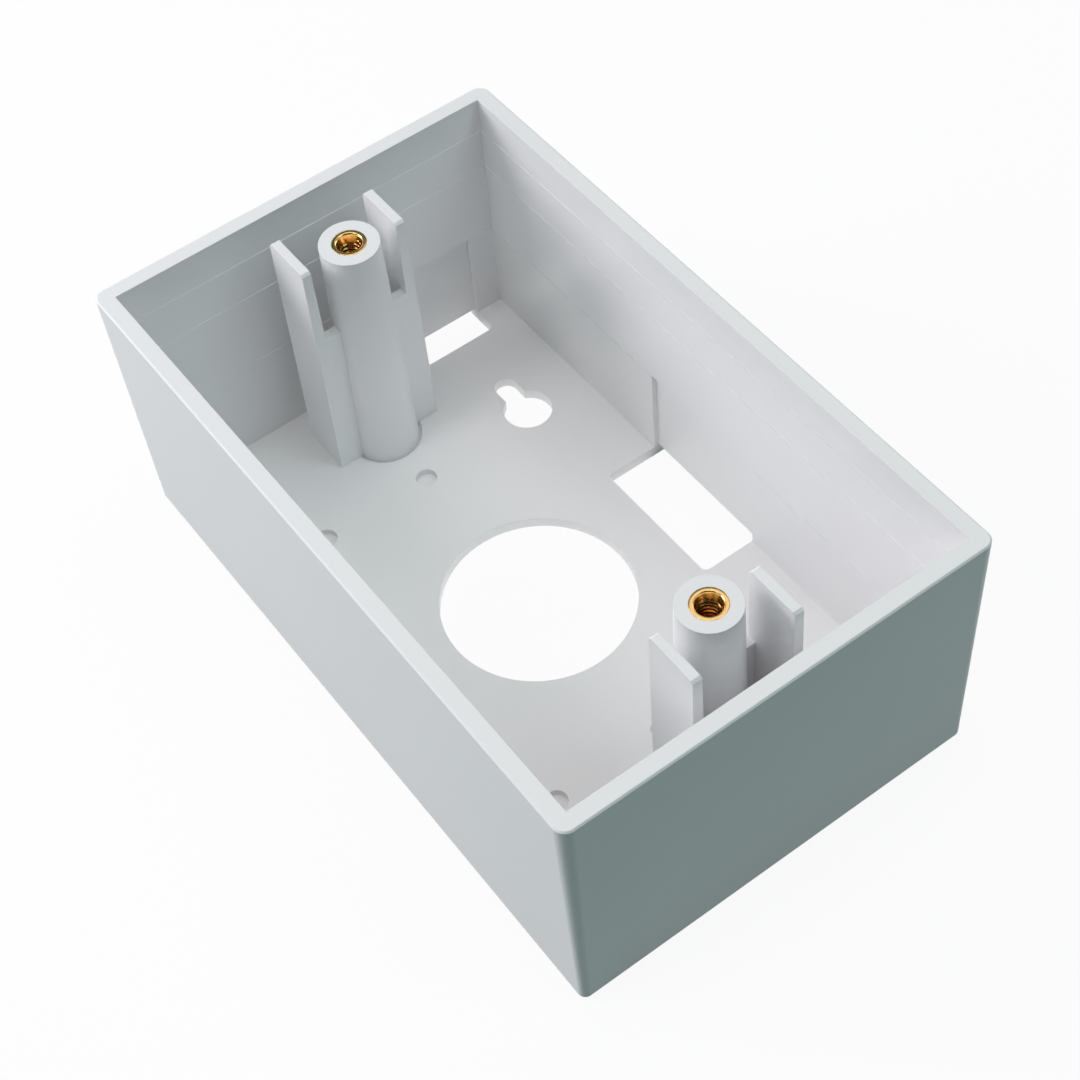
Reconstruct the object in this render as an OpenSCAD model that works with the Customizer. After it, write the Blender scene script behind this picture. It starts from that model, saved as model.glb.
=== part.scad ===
// Modular wall box: a one-gang surface box that hangs on a wall behind a cover plate.
// Three pieces: the moulded box and the two brass inserts that take the cover screws.
// Millimetres. The back lies on the plane z = 0 and the open side faces +Z.
// X runs across the box and Y up it, so the narrow end of the keyhole points to +Y.

/* [Box] */
// width of the box over its rim
box_width = 69.5; // [66:0.1:90]
// length of the box over its rim
box_length = 114.3; // [110:0.1:140]
// depth from the back to the rim
box_depth = 45.6; // [40:0.1:70]
// thickness of the walls at the rim
wall = 2.65; // [2:0.05:3.2]
// thickness of the floor
floor_thickness = 1.9; // [1.5:0.1:3]
// how far each outer face leans in from the rim down to the back
wall_draft = 0.7; // [0.2:0.1:1]
// radius of the upright outer edges at the back
corner_radius = 1.2; // [1:0.1:4]
// bevel that breaks the outer edges of the rim and of the back
edge_bevel = 0.25; // [0.1:0.05:0.5]
// width of each small ledge around the inner walls
ledge = 0.1; // [0.05:0.01:0.15]
// height of the middle ledge above the back
middle_ledge_height = 32.2; // [26:0.1:34]
// height of the upper ledge above the back
upper_ledge_height = 39.4; // [36:0.1:39.5]

/* [Cover screws] */
// distance between the axes of the two cover screws
screw_spacing = 83.3; // [80:0.1:84]
// radius of a boss at its top
boss_top_radius = 4.6; // [4:0.1:5]
// radius of a boss at the floor
boss_foot_radius = 5.3; // [4.8:0.1:5.4]
// radius of the clearance hole below each insert
screw_hole_radius = 1.9; // [1.7:0.05:2.2]
// depth of the clearance hole below each insert
screw_hole_depth = 24; // [10:0.5:26]
// width of the sunk ring around the foot of each boss
ring_width = 0.5; // [0.3:0.05:0.8]
// depth of the sunk ring around the foot of each boss
ring_depth = 0.5; // [0.3:0.05:0.8]

/* [Fins and webs] */
// clear distance between the two fins of a pair, at their tops
fin_spacing = 14.9; // [14:0.1:18]
// thickness of a fin at its top
fin_thickness = 1.5; // [1:0.05:2]
// how much each face of a fin leans out from its top down to the floor
fin_draft = 0.35; // [0.1:0.05:0.5]
// length of a fin along the box
fin_length = 8.95; // [7:0.05:9.6]
// how far the fins reach past the screw axis towards the middle of the box
fin_reach = 1.05; // [0.5:0.05:1.6]
// how far the tops of the fins stay below the rim
fin_drop = 0.35; // [0.2:0.05:1.5]
// bevel on the two top corners of a fin
fin_bevel = 0.4; // [0.3:0.1:1.2]
// thickness of the web between a boss and its fins
web_thickness = 1.5; // [1:0.05:2]
// height of the top of the web above the back
web_height = 30.8; // [12:0.1:36]

/* [Floor] */
// radius of the round cable hole
cable_hole_radius = 15.2; // [10:0.1:16]
// across position of the keyhole
keyhole_x = 20.9; // [19:0.1:22]
// position along the box of the keyhole's round head opening
keyhole_y = 31.5; // [28:0.1:33]
// radius of the keyhole where a screw head passes
keyhole_head_radius = 4; // [3.5:0.1:4.5]
// radius of the keyhole where the screw shank hangs
keyhole_shank_radius = 1.9; // [1.5:0.05:2.4]
// distance from the head opening to the hanging position
keyhole_travel = 6.1; // [5:0.1:8]
// across position of the outer screw recesses
recess_x = 19; // [14:0.1:22]
// position along the box of the screw recesses
recess_y = 30.2; // [27:0.1:32]
// radius of a screw recess
recess_radius = 1.7; // [1.2:0.05:2.2]
// depth of a screw recess
recess_depth = 1.1; // [0.6:0.05:1.2]

/* [Cable entries] */
// length of the opening along each wall that has an entry
entry_length = 24.2; // [16:0.1:25]
// how far the opening by the long wall reaches into the floor
side_entry_reach = 9.3; // [5:0.1:11]
// floor left between the fins and the opening by the short wall
fin_land = 0.1; // [0.1:0.05:0.6]
// across position of the middle of the short wall's entry
end_entry_x = 14.9; // [13:0.1:16]
// radius of the free corners of the openings
entry_corner = 1; // [0.5:0.1:2]
// height above the back of the thinned panel over each opening
panel_height = 18.8; // [14:0.1:24]
// depth by which the panel is thinned from inside
panel_recess = 0.8; // [0.4:0.05:1]
// gap between the floor's top face and the foot of the panel
panel_gap = 0.2; // [0.1:0.05:0.4]

/* [Inserts] */
// outer radius of a threaded insert
insert_radius = 2.65; // [2.4:0.05:2.9]
// length of a threaded insert
insert_length = 6.4; // [5:0.1:8]
// bevel around the buried end of the insert
insert_lead = 0.3; // [0.2:0.05:0.5]
// radius of the insert's thread at its crests
thread_crest_radius = 1.4; // [1.3:0.05:1.6]
// radius of the bevelled mouth of the insert
mouth_radius = 2.05; // [1.8:0.05:2.2]
// width of the holding groove around the insert
groove_width = 1.2; // [0.8:0.1:1.6]
// depth of the holding groove around the insert
groove_depth = 0.3; // [0.2:0.05:0.4]

/* [Hidden] */
$fn = 96;
overrun = 1;
root_depth = 0.6;
half_width = box_width / 2;
half_length = box_length / 2;
screw_y = screw_spacing / 2;
rim_inner = [half_width - wall, half_length - wall];
ledge_heights = [floor_thickness, panel_height, middle_ledge_height, upper_ledge_height];
last_ledge = len(ledge_heights) - 1;
foot_inner = rim_inner - [ledge, ledge] * last_ledge;
fin_top = box_depth - fin_drop;
fin_x = (fin_spacing + fin_thickness) / 2;
fin_start = screw_y - fin_reach;
end_entry_reach = foot_inner.y - fin_start - fin_length - fin_land;
panel_foot = floor_thickness + panel_gap;
insert_groove_radius = insert_radius - groove_depth;
box_color = [0.87, 0.88, 0.88];
brass_color = [0.84, 0.66, 0.32];

// Rounded block that is width by length at its top and smaller by lean all round at its foot.
// Two crossed prisms carry the leaning faces and four cones carry the upright edges.
module leaning_block(width, length, height, radius, lean) {
    foot = [width / 2 - lean, length / 2 - lean];
    rotate([90, 0, 0])
        linear_extrude(height = 2 * (foot.y - radius), center = true)
            polygon([[-foot.x, 0], [foot.x, 0], [width / 2, height], [-width / 2, height]]);
    rotate([90, 0, 90])
        linear_extrude(height = 2 * (foot.x - radius), center = true)
            polygon([[-foot.y, 0], [foot.y, 0], [length / 2, height], [-length / 2, height]]);
    for (side_x = [-1, 1], side_y = [-1, 1])
        translate([side_x * (foot.x - radius), side_y * (foot.y - radius), 0])
            cylinder(h = height, r1 = radius, r2 = radius + lean);
}

// Outer form of the box: the leaning walls between two small edge bevels.
module outer_block() {
    foot_width = box_width - 2 * wall_draft;
    foot_length = box_length - 2 * wall_draft;
    leaning_block(foot_width, foot_length, edge_bevel, corner_radius - edge_bevel, edge_bevel);
    translate([0, 0, edge_bevel])
        leaning_block(box_width, box_length, box_depth - 2 * edge_bevel, corner_radius, wall_draft);
    translate([0, 0, box_depth - edge_bevel])
        leaning_block(box_width - 2 * edge_bevel, box_length - 2 * edge_bevel, edge_bevel,
            corner_radius + wall_draft, -edge_bevel);
}

// Inside of the box: each layer down is narrower by one ledge all round.
module cavity() {
    for (i = [0 : last_ledge]) {
        half = rim_inner - [ledge, ledge] * (last_ledge - i);
        translate([-half.x, -half.y, ledge_heights[i]])
            cube([2 * half.x, 2 * half.y, box_depth + overrun - ledge_heights[i]]);
    }
}

// Tapered boss for one cover screw, rooted in the floor.
module boss() {
    translate([0, screw_y, floor_thickness - root_depth])
        cylinder(h = box_depth - floor_thickness + root_depth, r1 = boss_foot_radius, r2 = boss_top_radius);
}

// One fin beside a boss: its tapered section crossed with its side view with bevelled corners.
module fin() {
    foot_z = floor_thickness - root_depth;
    half_top = fin_thickness / 2;
    half_foot = half_top + fin_draft;
    translate([fin_x, 0, 0])
        intersection() {
            translate([0, fin_start + fin_length, 0])
                rotate([90, 0, 0])
                    linear_extrude(height = fin_length)
                        polygon([[-half_foot, foot_z], [half_foot, foot_z],
                            [half_top, fin_top], [-half_top, fin_top]]);
            translate([-fin_thickness, fin_start, 0])
                rotate([90, 0, 90])
                    linear_extrude(height = 2 * fin_thickness)
                        polygon([[0, foot_z], [fin_length, foot_z],
                            [fin_length, fin_top - fin_bevel], [fin_length - fin_bevel, fin_top],
                            [fin_bevel, fin_top], [0, fin_top - fin_bevel]]);
        }
}

// Low web that ties the two fins of a pair to their boss, flush with the fins' inner ends.
module web() {
    translate([-fin_x, fin_start, floor_thickness - root_depth])
        cube([2 * fin_x, web_thickness, web_height - floor_thickness + root_depth]);
}

// Everything that stands on the floor at the upper end of the box.
module screw_station() {
    boss();
    for (side = [0, 1])
        mirror([side, 0, 0])
            fin();
    web();
}

// Repeats its children at the upper and, mirrored, at the lower end of the box.
module both_ends() {
    for (end = [0, 1])
        mirror([0, end, 0])
            children();
}

// Sunk ring around the foot of a boss, cut before the boss is added.
module foot_ring() {
    translate([0, screw_y, floor_thickness - ring_depth])
        cylinder(h = ring_depth + overrun, r = boss_foot_radius + ring_width);
}

// Seat of the insert and the screw's clearance hole below it.
module screw_bore() {
    translate([0, screw_y, box_depth])
        insert_blank();
    translate([0, screw_y, box_depth - insert_length - screw_hole_depth])
        cylinder(h = screw_hole_depth + overrun, r = screw_hole_radius);
}

// Outline of an opening beside a wall at y = 0: rounded at its two free corners.
module entry_outline(reach) {
    half = entry_length / 2;
    translate([-half, entry_corner - reach])
        square([entry_length, reach - entry_corner + wall + overrun]);
    translate([entry_corner - half, -reach])
        square([entry_length - 2 * entry_corner, reach]);
    for (side = [-1, 1])
        translate([side * (half - entry_corner), entry_corner - reach])
            circle(r = entry_corner);
}

// Cable entry in a wall whose inner face is at y = 0: the opening through floor and
// foot of the wall, and the thinned panel above it.
module cable_entry(reach) {
    translate([0, panel_recess, -overrun])
        linear_extrude(height = panel_foot + overrun)
            entry_outline(reach + panel_recess);
    translate([-entry_length / 2, -overrun, floor_thickness])
        cube([entry_length, overrun + panel_recess, panel_height - floor_thickness]);
}

// Keyhole for hanging the box on a screw head, narrow end up.
module keyhole() {
    translate([keyhole_x, keyhole_y, -overrun])
        linear_extrude(height = floor_thickness + 2 * overrun) {
            circle(r = keyhole_head_radius);
            translate([0, keyhole_travel])
                circle(r = keyhole_shank_radius);
            translate([-keyhole_shank_radius, 0])
                square([2 * keyhole_shank_radius, keyhole_travel]);
        }
}

// Blind recesses where extra wall screws can be driven through the thin floor.
module screw_recesses() {
    for (x = [-recess_x, 0], side = [-1, 1])
        translate([x, side * recess_y, floor_thickness - recess_depth])
            cylinder(h = recess_depth + overrun, r = recess_radius);
}

// All the openings in the floor and at the foot of the walls.
module floor_cuts() {
    translate([0, 0, -overrun])
        cylinder(h = floor_thickness + 2 * overrun, r = cable_hole_radius);
    keyhole();
    screw_recesses();
    translate([foot_inner.x, 0, 0])
        rotate([0, 0, -90])
            cable_entry(side_entry_reach);
    translate([end_entry_x, foot_inner.y, 0])
        cable_entry(end_entry_reach);
}

module wall_box() {
    color(box_color)
        difference() {
            union() {
                difference() {
                    outer_block();
                    cavity();
                    both_ends()
                        foot_ring();
                }
                both_ends()
                    screw_station();
            }
            floor_cuts();
            both_ends()
                screw_bore();
        }
}

// Solid body of an insert without its bore, with its top face at z = 0.
module insert_blank() {
    groove_foot = -(insert_length + groove_width) / 2;
    rotate_extrude()
        polygon([[0, -insert_length], [insert_radius - insert_lead, -insert_length],
            [insert_radius, insert_lead - insert_length], [insert_radius, groove_foot],
            [insert_groove_radius, groove_foot],
            [insert_groove_radius, groove_foot + groove_width],
            [insert_radius, groove_foot + groove_width], [insert_radius, 0], [0, 0]]);
}

// Threaded insert: its body, bored through and bevelled at the mouth.
module threaded_insert() {
    mouth = mouth_radius - thread_crest_radius;
    color(brass_color)
        translate([0, screw_y, box_depth])
            difference() {
                insert_blank();
                translate([0, 0, -insert_length - overrun])
                    cylinder(h = insert_length + 2 * overrun, r = thread_crest_radius);
                translate([0, 0, -mouth])
                    cylinder(h = mouth + overrun, r1 = thread_crest_radius,
                        r2 = mouth_radius + overrun);
            }
}

module upper_insert() {
    threaded_insert();
}

module lower_insert() {
    mirror([0, 1, 0])
        threaded_insert();
}

wall_box();
upper_insert();
lower_insert();
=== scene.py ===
"""Looks of the modular wall box: moulded plastic, threaded brass inserts, floor, light and camera.

Metres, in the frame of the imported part: the back lies on z = 0 and the open side faces +Z.
"""

import math

import bpy
import numpy as np
from mathutils import Matrix, Vector


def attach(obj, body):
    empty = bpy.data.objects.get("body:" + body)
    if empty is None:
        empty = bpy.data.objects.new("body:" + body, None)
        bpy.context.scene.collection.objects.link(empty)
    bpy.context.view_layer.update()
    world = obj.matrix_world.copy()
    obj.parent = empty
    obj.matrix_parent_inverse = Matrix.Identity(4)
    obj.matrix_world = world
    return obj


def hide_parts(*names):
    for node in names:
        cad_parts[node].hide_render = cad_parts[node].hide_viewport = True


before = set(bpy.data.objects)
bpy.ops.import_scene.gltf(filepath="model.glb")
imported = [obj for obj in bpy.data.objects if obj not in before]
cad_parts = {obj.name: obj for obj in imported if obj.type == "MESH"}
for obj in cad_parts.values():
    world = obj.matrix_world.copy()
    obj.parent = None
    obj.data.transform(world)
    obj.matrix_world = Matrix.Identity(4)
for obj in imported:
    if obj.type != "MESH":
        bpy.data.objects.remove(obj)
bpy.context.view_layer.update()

MM = 0.001

# Inserts: place, body, rounded edge with its middle point, and collar above the knurls
SCREW_Y = 41.65 * MM
RIM_Z = 45.6 * MM
INSERT_LENGTH = 6.4 * MM
INSERT_RADIUS = 2.65 * MM
INSERT_LEAD = 0.3 * MM
INSERT_EDGE = 0.06 * MM
EDGE_MIDDLE = 0.3 * INSERT_EDGE
COLLAR_INSET = 0.02 * MM
COLLAR_START = 0.45 * MM
INSERT_CREASE = math.radians(50.0)

# Inserts: bore with its thread, which fades out above the foot, and countersunk mouth
BORE_END = 0.2 * MM
THREAD_CREST = 1.4 * MM
THREAD_DEPTH = 0.36 * MM
THREAD_PITCH = 0.794 * MM
THREAD_SLOPE = 2.6
THREAD_FLAT = 0.55
THREAD_END = 0.9 * MM
THREAD_FADE = 0.7 * MM
MOUTH_RADIUS = 2.05 * MM
MOUTH_DEPTH = 0.6 * MM

# Inserts: groove and knurls on the side, points of a ring, and rings of the bore
GROOVE_WIDTH = 1.2 * MM
GROOVE_DEPTH = 0.3 * MM
KNURL_START = 0.5 * MM
KNURL_DEPTH = 0.12 * MM
KNURL_TEETH = 36
RING_POINTS = 96
BORE_RINGS = 120

# Plastic: tones, noise per metre, depth of the grain, and what adds to the roughness
PLASTIC = (0.868, 0.862, 0.872, 1.0)
PLASTIC_LIGHT = (0.896, 0.89, 0.9, 1.0)
# Painted highlight: the lighter tone that edges and small bevels are painted
PLASTIC_EDGE_HIGHLIGHT = (0.925, 0.922, 0.93, 1.0)
CLOUD_NOISE = 38.0
FINE_NOISE = 2600.0
GRAIN_NOISE = 5200.0
GRAIN_DEPTH = 0.02 * MM
PLASTIC_ROUGH = 0.27
CLOUD_ROUGH = 0.08
FINE_ROUGH = 0.06
EDGE_ROUGH = 0.45

# Plastic edges: softening, growth of the painted edge highlight, and upward part of the bevels'
# direction
EDGE_RADIUS = 0.12 * MM
EDGE_HIGHLIGHT_GAIN = 8.0
BEVEL_TILT = 0.7
BEVEL_SPREAD = 0.25

# Upper inner wall: where it starts, how softly that sets in, and how sharp its ledges stay
UPPER_WALL_Y = 52.5 * MM
SHARP_FADE = 1.0 * MM
SHARP_SHARE = 0.8

# Brass: tones, turned marks per metre and their depth, roughness, and how the painted shade in the
# bore sets in
BRASS = (0.87, 0.53, 0.18, 1.0)
BRASS_LIGHT = (0.93, 0.62, 0.24, 1.0)
# Painted shade: the darker brown that the bore turns to with depth
BRASS_PAINTED_SHADE = (0.5, 0.24, 0.08, 1.0)
MARK_NOISE = 1800.0
MARK_DEPTH = 0.01 * MM
BRASS_ROUGH = 0.16
MARK_ROUGH = 0.1
BORE_SHADE_START = 0.25 * MM
BORE_SHADE_DEPTH = 1.2 * MM

# Floor: flat part, rise to the backdrop, gap under the box, and points along one side
FLOOR_FLAT = 2.0
FLOOR_RISE = 1.0
FLOOR_HEIGHT = 1.1
FLOOR_GAP = 0.2 * MM
FLOOR_POINTS = 81

# Floor: tones, shares of glow, and the white sheet under the box
FLOOR_DARK = (0.055, 0.15, 0.14, 1.0)
FLOOR_PALE = (0.9, 0.9, 0.9, 1.0)
FLOOR_GLOW = (1.0, 1.0, 1.0, 1.0)
GLOW_SEEN = 0.92
GLOW_SHEET = 0.65
SHEET_HALF_X = 31.0 * MM
SHEET_HALF_Y = 53.0 * MM

# Camera: focal length and sensor width in millimetres, place, and right and up directions
LENS = 73.737
SENSOR = 36.0
CAMERA_PLACE = (-0.10044, -0.16945, 0.27355)
CAMERA_RIGHT = (0.804198, -0.590208, -0.070136)
CAMERA_UP = (0.505245, 0.616694, 0.603669)

# Even light of the room, and the points that the lamps face
ROOM_COLOR = (0.32, 1.0, 0.93, 1.0)
ROOM_STRENGTH = 0.075
AIM = (0.0, 0.0, 0.02)
LOW_AIM = (0.0, 0.0, 0.025)

# Lamps: name, place, point they face, diameter, power in watts and colour
LAMPS = [
    ("overhead", (0.2, 0.12, 0.8), AIM, 0.86, 2.0, (1.0, 0.93, 0.917)),
    ("high", (-0.1, -0.02, 1.0), AIM, 0.4, 1.25, (1.0, 0.955, 0.95)),
    ("left_high", (-0.5, 0.06, 0.7), AIM, 0.3, 1.12, (0.99, 0.955, 0.97)),
    ("left", (-0.37, 0.33, 0.25), AIM, 0.32, 1.82, (0.975, 0.95, 0.995)),
    ("front", (0.42, -0.52, 0.74), AIM, 0.5, 1.22, (0.69, 0.98, 0.98)),
    ("right", (0.62, 0.08, 0.13), LOW_AIM, 0.3, 0.75, (0.97, 0.96, 1.0)),
    ("back", (0.1, 0.65, 0.13), LOW_AIM, 0.3, 0.5, (0.97, 0.96, 1.0)),
]


class Value:
    """One shader socket; arithmetic on it adds Math nodes to its tree."""

    def __init__(self, tree, socket):
        self.tree, self.socket = tree, socket

    def _math(self, operation, *others, clamp=False):
        n = self.tree.nodes.new("ShaderNodeMath")
        n.operation, n.use_clamp = operation, clamp
        for slot, item in zip(n.inputs, others):
            if isinstance(item, Value):
                self.tree.links.new(item.socket, slot)
            else:
                slot.default_value = item
        return Value(self.tree, n.outputs[0])

    def __add__(self, other):
        return self._math("ADD", self, other)

    __radd__ = __add__

    def __sub__(self, other):
        return self._math("SUBTRACT", self, other)

    def __rsub__(self, other):
        return self._math("SUBTRACT", other, self)

    def __mul__(self, other):
        return self._math("MULTIPLY", self, other)

    __rmul__ = __mul__

    def __truediv__(self, other):
        return self._math("DIVIDE", self, other)

    def below(self, limit):
        """1 where the value lies between minus the limit and the limit, 0 elsewhere."""
        return self._math("LESS_THAN", self._math("ABSOLUTE", self), limit)

    def clipped(self):
        """The value held between 0 and 1."""
        return self._math("ADD", self, 0.0, clamp=True)


class Finish:
    """A material and its tree, with one method that adds any node but the output."""

    def __init__(self, name):
        self.material = bpy.data.materials.new(name)
        self.material.use_nodes = True
        self.tree = self.material.node_tree
        self.tree.nodes.clear()
        self.place = self.node("ShaderNodeTexCoord", {}, {}, "Object")

    def node(self, kind, settings, sockets, output=0):
        """Adds a node: its settings first, then the values or links of its sockets."""
        n = self.tree.nodes.new(kind)
        for key, item in settings.items():
            setattr(n, key, item)
        for key, item in sockets.items():
            if isinstance(item, Value):
                self.tree.links.new(item.socket, n.inputs[key])
            else:
                n.inputs[key].default_value = item
        return Value(self.tree, n.outputs[output])

    def axis(self, name, vector=None):
        """The X, Y or Z part of a vector, which is the Object coordinates if none is given."""
        return self.node("ShaderNodeSeparateXYZ", {}, {"Vector": vector or self.place}, name)

    def noise(self, per_metre, detail=2.0, roughness=0.5):
        """Noise on Object coordinates, from 0 to 1."""
        return self.node("ShaderNodeTexNoise", {}, {
            "Vector": self.place, "Scale": per_metre,
            "Detail": detail, "Roughness": roughness}, "Fac")

    def blend(self, mask, first, second):
        """Colour or direction from the first to the second as the mask goes from 0 to 1."""
        return self.node("ShaderNodeMix", {"data_type": "RGBA"}, {
            "Factor": mask, 6: first, 7: second}, 2)

    def output(self, surface):
        """Sets the surface and returns the finished material."""
        end = self.tree.nodes.new("ShaderNodeOutputMaterial")
        self.tree.links.new(surface.socket, end.inputs["Surface"])
        return self.material


def moulded_plastic():
    """Light grey satin plastic with faint clouds and a fine spark-eroded grain.

    Edges are softened, except for the ledges of the upper inner wall, which stay almost sharp.
    Edges and the small bevels on rim and fins are painted lighter as a painted highlight, and are
    duller.
    """
    f = Finish("moulded_plastic")
    cloud = f.noise(CLOUD_NOISE, 3.0)
    fine = f.noise(FINE_NOISE)
    grain = f.noise(GRAIN_NOISE, 3.0, 0.6)
    soft = f.node("ShaderNodeBevel", {"samples": 4}, {"Radius": EDGE_RADIUS}, "Normal")
    flat = f.node("ShaderNodeNewGeometry", {}, {}, "Normal")
    same = f.node("ShaderNodeVectorMath", {"operation": "DOT_PRODUCT"}, {0: soft, 1: flat}, "Value")
    slanted = (f.axis("Z", flat) - BEVEL_TILT).below(BEVEL_SPREAD)
    # Edges and bevels get a lighter colour, which is a painted highlight, and a higher roughness
    painted_highlight_edges = ((1.0 - same) * EDGE_HIGHLIGHT_GAIN * (0.6 + 0.4 * cloud) + slanted).clipped()
    color = f.blend(painted_highlight_edges, f.blend(cloud, PLASTIC, PLASTIC_LIGHT), PLASTIC_EDGE_HIGHLIGHT)
    rough = PLASTIC_ROUGH + CLOUD_ROUGH * cloud + FINE_ROUGH * fine + EDGE_ROUGH * painted_highlight_edges
    upper = ((f.axis("Y") - UPPER_WALL_Y) / SHARP_FADE).clipped()
    inside = ((RIM_Z - SHARP_FADE - f.axis("Z")) / SHARP_FADE).clipped()
    normal = f.blend(SHARP_SHARE * (upper * inside), soft, flat)
    bump = f.node("ShaderNodeBump", {}, {
        "Strength": 0.12, "Distance": GRAIN_DEPTH, "Height": grain, "Normal": normal}, "Normal")
    shader = f.node("ShaderNodeBsdfPrincipled", {}, {
        "Base Color": color, "Roughness": rough, "Normal": bump, "IOR": 1.5}, "BSDF")
    return f.output(shader)


def turned_brass():
    """Yellow brass: bright top face, turned marks, and a bore painted browner and darker with depth
    as painted shade.
    """
    f = Finish("turned_brass")
    marks = f.noise(MARK_NOISE, 4.0)
    # Painted shade: the bore darkens with depth below the top face
    depth = ((RIM_Z - BORE_SHADE_START - f.axis("Z")) / BORE_SHADE_DEPTH).clipped()
    color = f.blend(depth, f.blend(marks, BRASS, BRASS_LIGHT), BRASS_PAINTED_SHADE)
    rough = BRASS_ROUGH + MARK_ROUGH * marks
    bump = f.node("ShaderNodeBump", {}, {
        "Strength": 0.2, "Distance": MARK_DEPTH, "Height": marks}, "Normal")
    shader = f.node("ShaderNodeBsdfPrincipled", {}, {
        "Base Color": color, "Roughness": rough, "Metallic": 1.0, "Normal": bump}, "BSDF")
    return f.output(shader)


def pale_floor():
    """Floor that looks white to the camera and in glossy surfaces, and is dark for other light.

    A small share of plain diffuse white in it keeps the object's faint shadow. Under the box it is
    white and glows for all light, so the openings' edges are lit from below as in the photograph.
    """
    f = Finish("pale_floor")
    camera, glossy, through = [f.node("ShaderNodeLightPath", {}, {}, kind) for kind in (
        "Is Camera Ray", "Is Glossy Ray", "Is Transmission Ray")]
    seen = (camera + glossy + through).clipped()
    sheet = f.axis("X").below(SHEET_HALF_X) * f.axis("Y").below(SHEET_HALF_Y)
    color = f.blend((seen + sheet).clipped(), FLOOR_DARK, FLOOR_PALE)
    diffuse = f.node("ShaderNodeBsdfDiffuse", {}, {"Color": color}, "BSDF")
    glow = f.node("ShaderNodeEmission", {}, {"Color": FLOOR_GLOW, "Strength": 1.0}, "Emission")
    share = GLOW_SEEN * seen + GLOW_SHEET * sheet * (1.0 - seen)
    mixed = f.node("ShaderNodeMixShader", {}, {0: share, 1: diffuse, 2: glow}, "Shader")
    return f.output(mixed)


def smooth_piece(name, points, quads, material):
    """Smoothly shaded object from a grid of points and the corners of its quads."""
    mesh = bpy.data.meshes.new(name)
    mesh.from_pydata(points.reshape(-1, 3), [], quads.reshape(-1, 4).tolist())
    mesh.shade_smooth()
    mesh.materials.append(material)
    piece = bpy.data.objects.new(name, mesh)
    bpy.context.scene.collection.objects.link(piece)
    return piece


def insert_surface(turn):
    """Points of one insert about its own axis, top face at z = 0, in rows of one ring each.

    A profile of (radius, height) runs down the bore, out under the foot and up the side. In the
    bore the radius is the crest's plus a thread wave of height / pitch minus angle / full turn,
    with flat crests and V-shaped roots, and at least that of the mouth's cone. On the side it is
    the body's minus a fine tooth wave of the angle.
    """
    share = np.arange(RING_POINTS) / RING_POINTS
    angle = share * 2.0 * math.pi
    bore_z = np.linspace(-MOUTH_DEPTH * 0.5, -INSERT_LENGTH + BORE_END, BORE_RINGS)[:, None]
    wave = (bore_z / THREAD_PITCH - share + turn) % 1.0
    flank = np.maximum(np.abs(wave - 0.5) * THREAD_SLOPE - THREAD_FLAT, 0.0)
    fade = np.clip((bore_z + (INSERT_LENGTH - THREAD_END)) / THREAD_FADE, 0.0, 1.0)
    narrowing = MOUTH_RADIUS - THREAD_CREST - THREAD_DEPTH
    bore_r = np.maximum(THREAD_CREST + THREAD_DEPTH * flank * fade,
                        MOUTH_RADIUS + bore_z * narrowing / MOUTH_DEPTH)

    groove_low = -(INSERT_LENGTH + GROOVE_WIDTH) / 2
    groove_high = groove_low + GROOVE_WIDTH
    groove = INSERT_RADIUS - GROOVE_DEPTH
    collar = INSERT_RADIUS - COLLAR_INSET
    # Radius, height and share of the knurls' depth, from the foot up to the mouth
    side = [(THREAD_CREST + INSERT_EDGE, -INSERT_LENGTH, 0),
            (INSERT_RADIUS - INSERT_LEAD, -INSERT_LENGTH, 0),
            (INSERT_RADIUS, INSERT_LEAD - INSERT_LENGTH, 1),
            (INSERT_RADIUS, groove_low, 1),
            (groove, groove_low, 0),
            (groove, groove_high, 0),
            (INSERT_RADIUS, groove_high, 1),
            (INSERT_RADIUS, -KNURL_START, 1),
            (collar, -COLLAR_START, 0),
            (collar, -INSERT_EDGE, 0),
            (collar - EDGE_MIDDLE, -EDGE_MIDDLE, 0),
            (collar - INSERT_EDGE, 0, 0),
            (MOUTH_RADIUS + INSERT_EDGE, 0, 0),
            (MOUTH_RADIUS, -EDGE_MIDDLE, 0)]
    side_r, side_z, knurled = np.array(side).T[:, :, None]
    tooth = 0.5 + 0.5 * np.cos(angle * KNURL_TEETH)
    radius = np.concatenate([bore_r, side_r - knurled * tooth * KNURL_DEPTH])
    height = np.broadcast_to(np.concatenate([bore_z, side_z]), radius.shape)
    return np.stack([radius * np.cos(angle), radius * np.sin(angle), height], -1)


def threaded_insert(name, node, y, turn, material):
    """Places one insert's surface on its screw axis, for the CAD node it stands for.

    Each row of points is a closed ring, and the last ring joins the first.
    """
    points = insert_surface(turn) + np.array([0.0, y, RIM_Z])
    rows, cols = points.shape[:2]
    row, col = np.meshgrid(np.arange(rows), np.arange(cols), indexing="ij")
    below, beside = (row + 1) % rows, (col + 1) % cols
    quads = np.stack([row * cols + col, row * cols + beside,
                      below * cols + beside, below * cols + col], -1)
    piece = smooth_piece(name, points, quads, material)
    piece.data.set_sharp_from_angle(angle=INSERT_CREASE)
    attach(piece, "root")
    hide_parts(node)


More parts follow.
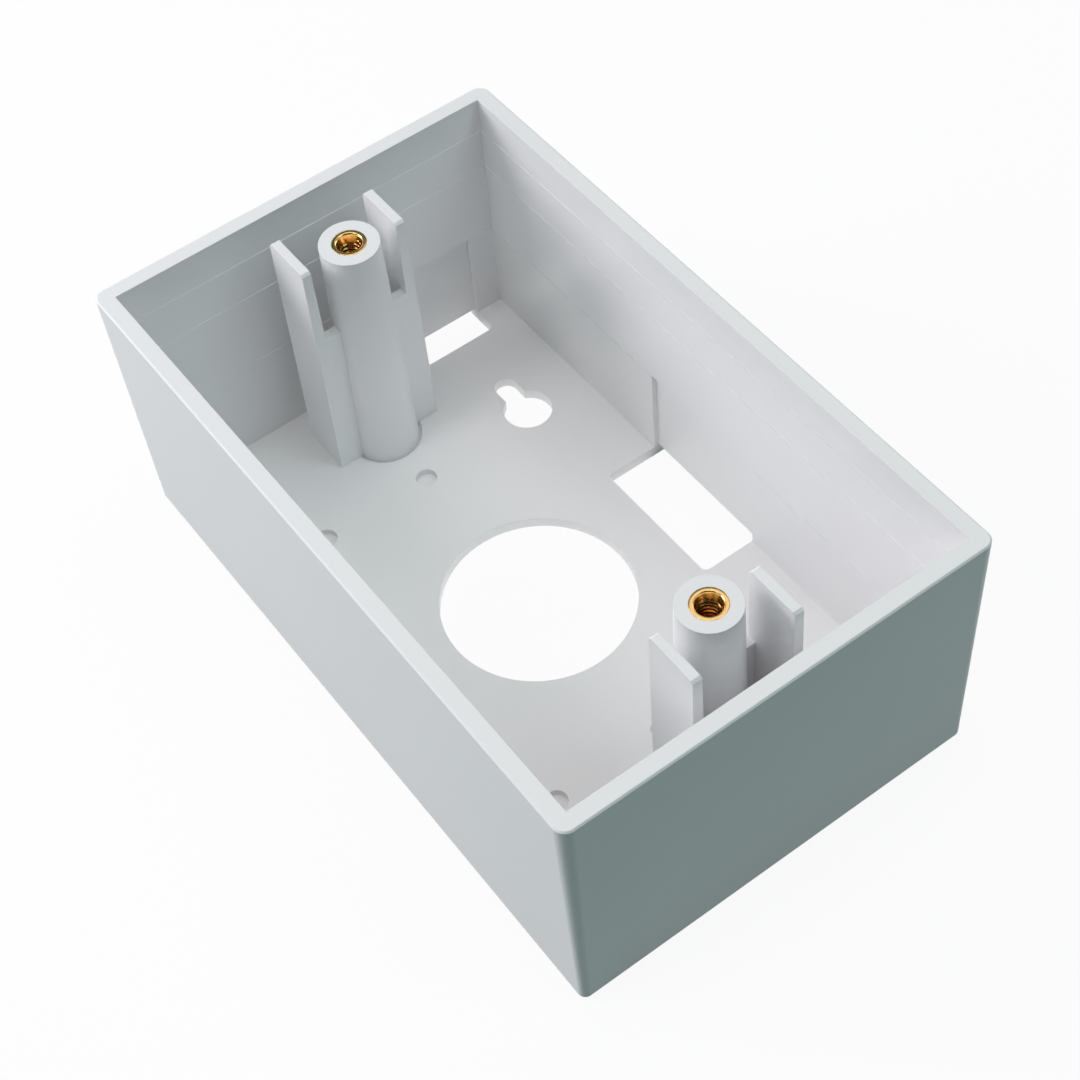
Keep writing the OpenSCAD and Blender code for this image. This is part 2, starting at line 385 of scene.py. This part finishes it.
def stage_floor():
    """Wide floor that curves up into a low backdrop.

    On a square grid of points at a distance r from the middle, the height is that of the backdrop
    times 3 t^2 - 2 t^3, where t goes from 0 at the flat's edge to 1 where the backdrop ends.
    """
    reach = FLOOR_FLAT + FLOOR_RISE
    line = np.linspace(-reach, reach, FLOOR_POINTS)
    x, y = np.meshgrid(line, line, indexing="ij")
    t = np.clip((np.hypot(x, y) - FLOOR_FLAT) / FLOOR_RISE, 0.0, 1.0)
    z = FLOOR_HEIGHT * (3.0 * t ** 2 - 2.0 * t ** 3) - FLOOR_GAP
    index = np.arange(x.size).reshape(x.shape)
    quads = np.stack([index[:-1, :-1], index[1:, :-1], index[1:, 1:], index[:-1, 1:]], -1)
    floor = smooth_piece("floor", np.stack([x, y, z], -1), quads, pale_floor())


def soft_light(name, place, aim, size, power, color):
    """Round lamp at a place, facing the aim point."""
    lamp = bpy.data.lights.new(name, "AREA")
    lamp.shape, lamp.size, lamp.energy, lamp.color = "DISK", size, power, color
    light = bpy.data.objects.new(name, lamp)
    light.location = place
    light.rotation_euler = (Vector(aim) - Vector(place)).to_track_quat("-Z", "Y").to_euler()
    bpy.context.scene.collection.objects.link(light)


def world_light(color, strength):
    """Even light from all sides."""
    world = bpy.data.worlds.new("room")
    world.use_nodes = True
    back = world.node_tree.nodes["Background"]
    back.inputs["Color"].default_value = color
    back.inputs["Strength"].default_value = strength
    bpy.context.scene.world = world


def photo_camera():
    """Camera at the photograph's viewpoint, from its place and its right and up directions."""
    lens = bpy.data.cameras.new("camera")
    lens.lens, lens.sensor_width, lens.sensor_fit = LENS, SENSOR, "HORIZONTAL"
    camera = bpy.data.objects.new("camera", lens)
    right, up = Vector(CAMERA_RIGHT), Vector(CAMERA_UP)
    turn = Matrix((right, up, right.cross(up))).transposed().to_4x4()
    camera.matrix_world = Matrix.Translation(CAMERA_PLACE) @ turn
    bpy.context.scene.collection.objects.link(camera)
    bpy.context.scene.camera = camera


photo_camera()
plastic = moulded_plastic()
brass = turned_brass()
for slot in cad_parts["wall_box"].material_slots:
    slot.material = plastic
threaded_insert("upper_insert_turned", "upper_insert", SCREW_Y, 0.15, brass)
threaded_insert("lower_insert_turned", "lower_insert", -SCREW_Y, 0.6, brass)
stage_floor()
world_light(ROOM_COLOR, ROOM_STRENGTH)
for row in LAMPS:
    soft_light(*row)

bpy.context.scene.view_settings.view_transform = "Standard"
bpy.context.view_layer.update()
